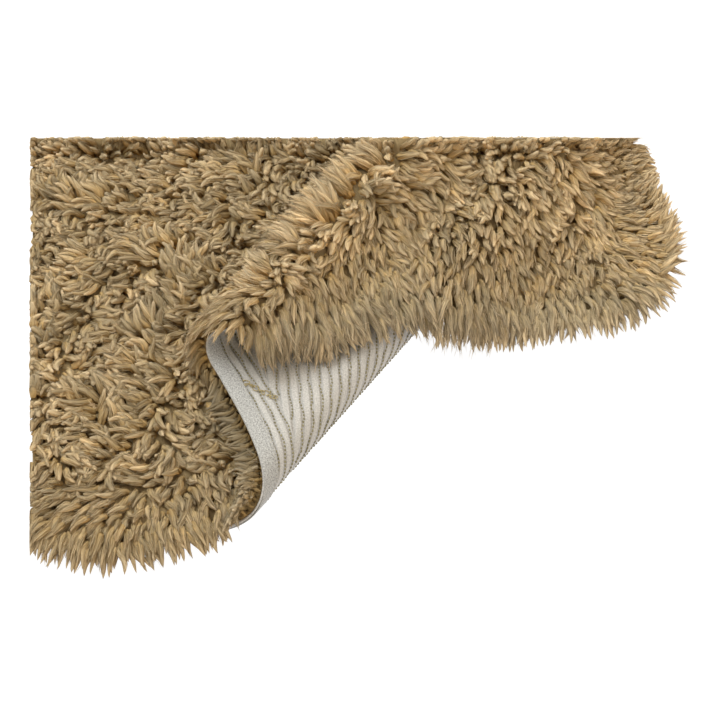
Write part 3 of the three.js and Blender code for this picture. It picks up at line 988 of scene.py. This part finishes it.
def lean_field(path, along, distance, edge_at):
    xy = to_flat(path, along)
    on_floor = path < FLOOR_END
    wander = np.where(on_floor, LEAN_WANDER["floor"], LEAN_WANDER["flap"]) * waves(xy, 120, 21)
    angle = np.where(on_floor, LEAN_DEGREES["floor"], LEAN_DEGREES["flap"]) + wander
    angle = np.radians(angle + LEAN_WANDER["fine"] * waves(xy, 45, 22))
    world = np.stack([np.cos(angle), np.sin(angle)], -1)
    lean = np.stack([world @ ACROSS, world @ ALONG], -1)
    near = np.exp(-((distance / np.where(path > ROLL_END, EDGE_PULL["slope"], EDGE_PULL["floor"])) ** 2))
    lean = turn_toward(lean, near, EDGE_OUT[edge_at] * 1.3)
    to_back = high_end(path) - along
    side = PARTING + 5 * waves(xy, 40, 23) - path
    ridge = smooth(0.5 + side / 7) * (path > ROLL - 20) * (1 - 0.6 * near) * smooth(to_back / 45)
    back = smooth(1.2 - to_back / 22)
    lean = turn_toward(turn_toward(lean, ridge, PARTING_WAY), 0.5 * back, BACK_WAY)
    return lean, near, ridge, back


# The locks draw together in clumps, each with a height, a turn and a hook of its own

CLUMP_PITCH = 32.0
CLUMP_HEIGHT = (0.82, 1.18)
CLUMP_TURN = 30
CLUMP_HOOK = (20, 100)


def clump_pull(xy):
    rows = np.arange(-700, 800, CLUMP_PITCH)
    x, y = np.meshgrid(rows, rows)
    centres = np.stack([x.ravel(), y.ravel()], -1) + rng.uniform(-0.45, 0.45, (x.size, 2)) * CLUMP_PITCH
    height = rng.uniform(*CLUMP_HEIGHT, len(centres))
    turn = rng.normal(0, CLUMP_TURN, len(centres))
    hook = rng.uniform(*CLUMP_HOOK, len(centres)) * rng.choice([-1, 1], len(centres))
    clump = nearest(xy, centres)[1]
    pull = centres[clump] - xy
    return np.stack([pull @ ACROSS, pull @ ALONG], -1), height[clump], turn[clump], hook[clump]


# The lowest that a lock may lie: on the floor, on the first floor's pile, or on the flap's backing

PILE_LAID = 25.0


def ground(points, path):
    xy = points[:, :2]
    across, along = xy @ ACROSS, xy @ ALONG
    bend_radius = FOLD[1]["radius"]
    bend = bend_radius + np.sqrt(np.maximum((bend_radius + TAPE_DEPTH) ** 2 - (across - FIRST_TO) ** 2, 0))
    top = np.where(across > FLAP[1], bend, flap_high(across) + TAPE_DEPTH) + TAPE_DEPTH
    flap_path = np.where(
        across > FLAP[1],
        FLAP[0] - bend_radius * np.arcsin(np.clip((across - FIRST_TO) / (bend_radius + TAPE_DEPTH), -1, 1)),
        FLAP[0] + (FLAP[1] - across) / -math.cos(FLAP[3]),
    )
    on_flap = within(across, FLAP[1] - FLAP_LONG, FIRST_TO + bend_radius + TAPE_DEPTH)
    on_flap &= along > front_side(flap_path) - 2
    on_pile = (along > front_side(across - FIRST_FROM) + 6) & (across < FIRST_TO)
    low = np.where(on_pile & (path > FLAP[0] - 30), PILE_LAID, 0.0)
    return np.where(on_flap & (path > ROLL_END - 30), top, low)


# A lock's rings, as shares of its length, and its sides

RINGS = np.array([0, 0.18, 0.35, 0.51, 0.66, 0.8, 0.92, 1.0])
SIDES = 4

# Places on the flat cut where the locks change: petals are the flat bunches left of the parting

PETAL = 15.0
CURTAIN_FROM = 694.0
CORNER_PATH = 765.0
UPRIGHT_PATH = 790.0
UPRIGHT_ALONG = 300.0
HEM_SHADE_FROM = 510.0
TOP_RIGHT_ALONG = 200.0

# Millimetres for the lengths and widths of locks, and degrees from upright for how they lie

LOCK_LONG = (30, 38)
RIM_LONG = 34
LOCK_WIDE = (3.4, 4.7)
STEEP = dict(inside=64, edge=80, ridge=74, parting=44, back=24, upright=18)


def turned(lean, angle):
    c, s = np.cos(angle), np.sin(angle)
    return np.stack([lean[..., 0] * c - lean[..., 1] * s, lean[..., 0] * s + lean[..., 1] * c], -1)


# What bears on each lock at its root, mostly as shares from 0 to 1
class Roots:
    def __init__(self, at):
        path, along = at.T
        self.path, self.along, self.count = path, along, len(at)
        self.xy = to_flat(path, along)
        self.distance, edge_at = edge_info(path, along)
        lean, self.near, self.ridge, self.back = lean_field(path, along, self.distance, edge_at)
        self.pull, self.clump_high, clump_turn, self.clump_hook = clump_pull(self.xy)
        self.set_zones(edge_at)
        turn = rng.normal(0, 11, self.count) + clump_turn * (1 - self.calm) * self.swirl
        self.lean = turned(lean, np.radians(turn))
        self.forward, self.sideways, self.outward = directions(path)
        self.way = self.in_space(self.lean)

    def set_zones(self, edge_at):
        path, along, distance = self.path, self.along, self.distance
        self.rim = 1 - smooth(distance / 14)
        self.fringe = smooth(1 - (distance - 10) / 45) * (path > ROLL_END) * (edge_at < TIP)
        self.over_canvas = self.fringe * smooth((STARTS["landing"] - path) / 50)
        at_corner = smooth((CORNER_PATH - path) / 40) * smooth(1 - (distance - 12) / 20)
        self.corner = self.over_canvas * at_corner
        self.outer = smooth(1 - (distance - 8) / 30) * ((path < FLOOR_END) | (path > STARTS["slope"]))
        self.under_hem = within(path, FLOOR_END + 8, ROLL)
        self.upright = smooth((along - UPRIGHT_ALONG) / 55) * smooth((path - UPRIGHT_PATH) / 30) * self.near
        self.combed = np.maximum(self.near, self.ridge)
        self.calm = self.combed * (1 - 0.4 * self.over_canvas)
        self.swirl = np.where(path > ROLL_END, 0.6, 1.0)
        self.curtain = self.ridge * smooth((path - CURTAIN_FROM) / 10)
        self.petal = np.floor(along / PETAL)
        self.pointed = np.clip(self.near * 1.1 + self.ridge, 0.2, 1) * (1 - 0.4 * self.rim)

    def in_space(self, flat):
        return flat[:, :1] * self.forward + flat[:, 1:] * self.sideways


def lock_lengths(z, size):
    long = lerp(rng.uniform(*LOCK_LONG, z.count), RIM_LONG, 0.6 * z.rim)
    petal_long = 1 + 0.14 * np.sin(z.petal * 12.9)
    long = long * lerp(z.clump_high, 1, z.calm) * lerp(1, 1.5 * petal_long, z.curtain)
    shorter = 0.5 * z.upright * (1 - 0.4 * z.back)
    return long * (1 + 0.3 * z.outer + 0.36 * z.over_canvas + 0.3 * z.corner - shorter) * size


# How far each lock leans from upright once it has bent over, in radians
def lock_slopes(z, tilt):
    steep = lerp(STEEP["inside"], STEEP["edge"], z.near) + rng.normal(0, 6, z.count)
    at_parting = np.exp(-(((z.path - PARTING) / 5) ** 2))
    steep = lerp(lerp(steep, STEEP["ridge"], z.ridge), STEEP["parting"], at_parting)
    steep = lerp(lerp(steep, STEEP["back"], z.back), STEEP["upright"], z.upright) * tilt
    press = np.clip(pile_room(z.path, z.along) / PILE_HIGH, 0.3, 1)
    return np.radians(steep) + (1 - press) * 0.5


def lock_droop(z):
    raised = fold_at(z.path)[1] > 4
    droop = 0.06 + 0.16 * z.near + 0.4 * z.ridge + z.rim * np.where(raised, 0.7, 0.25)
    return np.where(z.under_hem, -0.12, droop) + 0.5 * z.corner


# The middle line of each lock: it bends over and hooks aside, is drawn into its clump or petal, and
# winds about itself
def centre_lines(z, long, steep):
    foot = PILE_FOOT + 2 + 4 * rng.random(z.count) * (1 - z.rim)
    curly = (1 - z.calm) * rng.uniform(0.4, 1.2, z.count)
    hook = np.radians(z.clump_hook * rng.uniform(0.5, 1.2, z.count) + rng.normal(0, 18, z.count))
    hook = hook * (1 - 0.85 * z.calm) * z.swirl
    phase = rng.uniform(0, TURN, z.count)
    spin = rng.uniform(0.7, 1.4, z.count) * rng.choice([-1, 1], z.count)
    fall = (lock_droop(z) * 1.6)[:, None] * np.array([0, 0, -1.0])
    centres = [place(z.path, z.along, foot)]
    for a, b in zip(RINGS[:-1], RINGS[1:]):
        t = (a + b) / 2
        bent = steep * smooth(t / lerp(0.6, 0.35, z.curtain))
        way = z.in_space(turned(z.lean, hook * t * t))
        step = np.cos(bent)[:, None] * z.outward + np.sin(bent)[:, None] * way + fall * t
        centres.append(centres[-1] + unit(step) * (long * (b - a))[:, None])
    centres = np.stack(centres, 1)
    to_clump = z.in_space(z.pull) * (0.34 * (1 - z.calm))[:, None]
    to_petal = (z.petal + 0.5 - z.along / PETAL) * PETAL * 0.75 * z.curtain
    drawn = to_clump + to_petal[:, None] * z.sideways
    centres = centres + RINGS[None, :, None] ** 1.5 * drawn[:, None]
    angle = phase[:, None] + spin[:, None] * RINGS * TURN * 0.95
    wide = (2.2 * curly + 0.6 + 0.8 * z.near)[:, None] * smooth(RINGS / 0.45)
    centres = centres + (np.cos(angle) * wide)[..., None] * np.cross(z.outward, z.way)[:, None]
    return centres + (np.sin(angle) * wide * 0.6)[..., None] * z.outward[:, None], phase, spin


# The radius of each lock at its rings, and how far out its strands lie
def lock_widths(z, size):
    base = (rng.uniform(*LOCK_WIDE, z.count) * lerp(1, 0.92, z.combed) * size)[:, None]
    t = RINGS[None]
    blunt = (0.66 + 0.34 * smooth(t / 0.55)) * np.sqrt(np.clip(1 - ((t - 0.62).clip(0) / 0.4) ** 2, 0, 1))
    sharp = (0.7 + 0.3 * smooth(t / 0.4)) * (1 - ((t - 0.4).clip(0) / 0.6) ** 1.9)
    pointed = z.pointed[:, None]
    profile = lerp(blunt, sharp, pointed) * base
    reach = np.maximum(profile, base * lerp(0.45, 0.12, pointed))
    return profile * lerp(1, 0.8, smooth((t - 0.5) / 0.5)), reach


# Two ridges that wind round each lock, and random dents
def lock_ridges(z, twist, phase):
    spots = np.arange(SIDES) * TURN / SIDES
    lobes = spots - twist[:, None, None] * RINGS[:, None] * TURN + phase[:, None, None]
    ridges = 1 + lerp(0.16, 0.1, z.pointed)[:, None, None] * np.cos(2 * lobes)
    return ridges * rng.normal(1, 0.05, lobes.shape) * lerp(1, 0.88, z.combed)[:, None, None]


# How bright each lock is: random tone, painted light in the middle of the clumps and painted shade at their
# edges, painted shade under the hem, a painted highlight on the petals beside the parting, and painted
# light towards the top right
def lock_tints(z):
    tint = rng.normal(1.0, 0.07, z.count) * (1 + 0.05 * waves(z.xy, 60, 31))
    # Painted highlight on the flat petals beside the parting, a little different on each petal
    tint = tint * lerp(1, 1.3 + 0.1 * np.sin(z.petal * 7.3), z.curtain)
    # Painted light in the middle of each clump and painted shade towards its edges
    clump_gap_shade = smooth((np.linalg.norm(z.pull, axis=1) - 6) / 13)
    tint = tint * (1 + (0.15 - 0.28 * clump_gap_shade + 0.05 * waves(z.xy, 90, 33)) * (1 - z.calm))
    # Painted shade on the locks under the hem, deeper further along the path
    shade = lerp(0.88, 0.48, smooth((z.path - HEM_SHADE_FROM) / 90))
    tint = np.where(z.under_hem, shade * (1 + 0.5 * (tint - 1)), tint)
    # Painted light towards the top right of the folded-over part; the first floor's locks are a little
    # darker
    painted_top_light = smooth((z.along - TOP_RIGHT_ALONG) / 120)
    return tint * np.where(z.path < FLOOR_END, 0.95, 1 + 0.18 * painted_top_light)


# How warm each lock is, from 0 to 1: paler near the edge, beside the parting and under the hem, and paler
# over the fringe, partly its own colour and partly painted light where it hangs in shade
def lock_hues(z):
    paler = 0.12 * z.near + 0.22 * z.ridge + 0.34 * z.fringe + 0.2 * z.under_hem
    return np.clip(rng.uniform(0.42, 0.78, z.count) - paler, 0, 1)


def grow_locks(at, size=1.0, tilt=1.0):
    z = Roots(at)
    long = lock_lengths(z, size)
    centres, phase, spin = centre_lines(z, long, lock_slopes(z, tilt))
    profile, reach = lock_widths(z, size)
    low = ground(centres.reshape(-1, 3), np.repeat(z.path, len(RINGS))).reshape(z.count, -1)
    centres[..., 2] = np.maximum(centres[..., 2], low + profile * 0.8 + 0.4)
    centres = hold_inside_cuts(centres, profile * 0.9)
    along_lock = unit(np.gradient(centres, axis=1))
    side = unit(np.cross(along_lock, (z.outward + 0.35 * z.way)[:, None]))
    twist = rng.uniform(0.2, 0.7, z.count) * np.sign(spin) * lerp(1, 0.35, z.pointed)
    radius = profile[..., None] * lock_ridges(z, twist, phase)
    return dict(
        at=at, path=z.path, distance=z.distance, long=long, centres=centres, side=side,
        up=unit(np.cross(side, along_lock)), radius=radius, reach=reach, twist=twist,
        tint=lock_tints(z), hue=lock_hues(z), uv_long=long / LOCK_LONG[1],
        fine=np.maximum(0.6 * z.near, z.ridge),
    )


PIECE_LOCKS = 1200
SHAPE_KEYS = ("centres", "side", "up", "radius", "tint", "uv_long", "hue")


def lock_pieces(locks):
    from_fold, from_right = FLOOR_END + 20, ROLL_END + 40
    zones = dict(
        left=locks["path"] < from_fold,
        fold=(locks["path"] >= from_fold) & (locks["path"] < from_right),
        right=locks["path"] >= from_right,
    )
    made = []
    for zone, mask in zones.items():
        chosen = np.flatnonzero(mask)
        for n, i in enumerate(range(0, len(chosen), PIECE_LOCKS), 1):
            part = chosen[i:i + PIECE_LOCKS]
            obj = add_mesh(f"wool_locks_{zone}_{n}", *tubes(*(locks[k][part] for k in SHAPE_KEYS)), wool)
            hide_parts("wool_pile")
            made.append(obj)
    return made


# Spots of the flat cut that no lock lies over: each lock covers the cells that its upper part passes

FILL_CELL = 4.5
FILL_REACH = 1.35
FILL_CELLS = np.array([300, 240])
FILL_ORIGIN = np.array([0.0, -320.0])
BESIDE = np.array([[0, 0], [1, 0], [-1, 0], [0, 1], [0, -1]])


def bare_spots(locks):
    forward, sideways, _ = directions(locks["path"])
    run = locks["centres"][:, 1:] - locks["centres"][:, :1]
    over = np.stack([(run * forward[:, None]).sum(-1), (run * sideways[:, None]).sum(-1)], -1)
    over = over + locks["at"][:, None]
    over = np.concatenate([over, (over[:, 1:] + over[:, :-1]) / 2], 1).reshape(-1, 2)
    seen = np.zeros(FILL_CELLS, bool)
    for aside in BESIDE * FILL_REACH:
        cell = np.floor((over + aside - FILL_ORIGIN) / FILL_CELL).astype(int)
        cell = cell[((cell >= 0) & (cell < FILL_CELLS)).all(1)]
        seen[cell[:, 0], cell[:, 1]] = True
    empty = np.argwhere(~seen)
    at = FILL_ORIGIN + (empty + 0.5 + rng.uniform(-0.2, 0.2, empty.shape)) * FILL_CELL
    return showing(on_cut(at, from_back=2, from_edge=6))


FILL_SIZE = 0.85
FILL_TILT = 0.6

locks = grow_locks(showing(lock_roots()))
between = grow_locks(bare_spots(locks), FILL_SIZE, FILL_TILT)
locks = {key: np.concatenate([locks[key], between[key]]) for key in locks}
wool_locks = lock_pieces(locks)

# Fine tubes that follow chosen locks along their surface: each starts and ends at a share of the
# lock's length, lies at an angle round it, and stands off it by a growing lift

CRIMP = 0.45
STRAND_POINTS = 4


def follow_locks(pick, start, end, around, lift, thick):
    share = np.linspace(0, 1, STRAND_POINTS)
    at = start[:, None] + (end - start)[:, None] * share
    inside = np.minimum(at, 0.95)
    after = np.clip(np.searchsorted(RINGS, inside, side="right"), 1, len(RINGS) - 1)
    part = ((inside - RINGS[after - 1]) / (RINGS[after] - RINGS[after - 1]))[..., None]
    rows = pick[:, None]

    def follow(values):
        return values[rows, after - 1] * (1 - part) + values[rows, after] * part

    side, up = unit(follow(locks["side"])), unit(follow(locks["up"]))
    angle = around[:, None] + locks["twist"][rows] * TURN * 0.5 * at
    off = np.cos(angle)[..., None] * side + np.sin(angle)[..., None] * up
    lift, thick = lift[:, None], thick[:, None]
    stand = follow(locks["reach"][..., None])[..., 0] + lift * share**1.6 - thick * 0.3
    way = unit(locks["centres"][pick, -1] - locks["centres"][pick, -3])
    beyond = (at - inside) * locks["long"][rows]
    centres = follow(locks["centres"]) + off * stand[..., None] + way[:, None] * beyond[..., None]
    drift = (lift * 0.7 * share**2)[..., None]
    centres = centres + rng.normal(0, 1, (len(pick), 1, 3)) * drift
    crimp = (thick * CRIMP * smooth(share / 0.3))[..., None]
    centres = centres + rng.normal(0, 1, centres.shape) * crimp
    radius = thick * (0.75 + 0.25 * smooth(share / 0.3)) * (1 - 0.75 * share**2.5)
    centres[..., 2] = np.maximum(centres[..., 2], radius + 0.3)
    centres = hold_inside_cuts(centres, radius)
    along_tube = unit(np.gradient(centres, axis=1))
    above = unit(off - along_tube * (off * along_tube).sum(-1, keepdims=True))
    return centres, np.cross(along_tube, above), above, radius[..., None] * np.ones(THREAD_SIDES), at


PIECE_STRANDS = 11500
STRAND_UV = 0.4


def add_strands(name, pick, shapes, tint):
    made = []
    for n, i in enumerate(range(0, len(pick), PIECE_STRANDS), 1):
        part = slice(i, i + PIECE_STRANDS)
        *shape, at = (x[part] for x in shapes)
        uv_long, hue = locks["uv_long"][pick[part]] * STRAND_UV, locks["hue"][pick[part]]
        points, loops, sizes, uv, colour = tubes(*shape, tint[part], uv_long, hue)
        tip = np.concatenate([np.repeat(at[:, :-1], THREAD_SIDES, 1), at[:, -1:]], 1)
        colour[:, 1] = np.clip(tip.ravel(), 0, 1)
        obj = add_mesh(f"{name}_{n}", points, loops, sizes, uv, colour, wool)
        made.append(obj)
    return made


# Strands over the surface of each lock: more on the finer locks, and shorter at the lobed edge

STRANDS = (5, 9)
STRANDS_FROM = math.radians(-25)
STRANDS_TURN = math.radians(230)


def surface_strands():
    many = np.round(lerp(*STRANDS, locks["fine"])).astype(int)
    pick = np.repeat(np.arange(len(many)), many)
    total = len(pick)
    order = np.arange(total) - np.repeat(np.cumsum(many) - many, many)
    around = STRANDS_FROM + STRANDS_TURN * (order + rng.uniform(0.1, 0.9, total)) / many[pick]
    at_edge = smooth(1 - locks["distance"][pick] / 20)
    start = rng.uniform(0.12, 0.4, total)
    end = rng.uniform(0.78, 1.1, total) - 0.16 * at_edge
    lift = rng.uniform(0.0, 1.6, total) * lerp(1, 0.5, at_edge)
    thick = rng.uniform(0.5, 1.0, total) * lerp(1, 0.75, locks["fine"][pick])
    shapes = follow_locks(pick, start, end, around, lift, thick)
    return add_strands("wool_strands", pick, shapes, locks["tint"][pick] * rng.normal(1.03, 0.08, total))


# Thin fibres that stand off the locks, many of them over the bare backing

LOOSE_FIBRES = 5000
LOOSE_SHARES = dict(over_canvas=14.0, near_edge=0.6)


def loose_fibres():
    near_edge = locks["distance"] < 24
    over_canvas = near_edge & within(locks["path"], ROLL, STARTS["landing"])
    share = np.where(near_edge, LOOSE_SHARES["near_edge"], 1.0)
    share = np.where(over_canvas, LOOSE_SHARES["over_canvas"], share)
    pick = rng.choice(len(share), LOOSE_FIBRES, p=share / share.sum())
    start = rng.uniform(0.35, 0.85, LOOSE_FIBRES)
    end = start + rng.uniform(0.15, 0.4, LOOSE_FIBRES)
    around = rng.uniform(-0.4, math.pi + 0.4, LOOSE_FIBRES)
    lift = rng.uniform(1.0, 4.5, LOOSE_FIBRES)
    thick = rng.uniform(0.2, 0.4, LOOSE_FIBRES)
    shapes = follow_locks(pick, start, end, around, lift, thick)
    tint = locks["tint"][pick] * rng.normal(1.28, 0.12, LOOSE_FIBRES)
    return add_strands("loose_fibres", pick, shapes, tint)


loose = surface_strands() + loose_fibres()

# Floor, light and camera

FLOOR_HALF = 6.0
FLOOR_GREY = 0.12
FLOOR_GLOW = 0.96


def floor():
    corners = [(-1, -1), (1, -1), (1, 1), (-1, 1)]
    mesh = bpy.data.meshes.new("floor")
    mesh.from_pydata([(x * FLOOR_HALF, y * FLOOR_HALF, 0) for x, y in corners], [], [(0, 1, 2, 3)])
    obj = add_object("floor", mesh)
    pale = {
        "Base Color": (FLOOR_GREY, FLOOR_GREY, FLOOR_GREY),
        "Roughness": 0.9,
        "Emission Color": (1, 1, 1),
        "Emission Strength": FLOOR_GLOW,
    }
    mesh.materials.append(Graph("pale_floor").finish(pale))


def area_light(name, at, size, energy, colour):
    data = bpy.data.lights.new(name, "AREA")
    data.shape = "SQUARE"
    data.size = size
    data.energy = energy
    data.color = colour
    obj = add_object(name, data)
    obj.location = at
    obj.rotation_euler = (-Vector(at)).to_track_quat("-Z", "Y").to_euler()


def lights():
    world = bpy.data.worlds.new("studio")
    bpy.context.scene.world = world
    world.use_nodes = True
    sky = world.node_tree.nodes["Background"]
    sky.inputs["Color"].default_value = (1, 0.86, 0.63, 1)
    sky.inputs["Strength"].default_value = 0.76
    area_light("soft_key", (-1.2, 0.6, 2.4), 2.0, 74, (0.87, 0.96, 1.0))
    area_light("soft_fill", (1.5, -1.0, 2.2), 2.0, 23, (1.0, 0.97, 0.93))


def camera():
    data = bpy.data.cameras.new("camera")
    data.lens = CAMERA_LENS
    data.sensor_width = CAMERA_SENSOR
    data.clip_end = 50
    obj = add_object("camera", data)
    tilt = math.radians(CAMERA_ELEVATION)
    aim = SHIFT + np.array([0, 0, TAPE_DEPTH])
    at = aim + CAMERA_DISTANCE * np.array([0, -math.cos(tilt), math.sin(tilt)])
    obj.location = at * MM
    obj.rotation_euler = (math.radians(90) - tilt, 0, 0)
    bpy.context.scene.camera = obj


floor()
lights()
camera()
bpy.context.scene.view_settings.view_transform = "Standard"
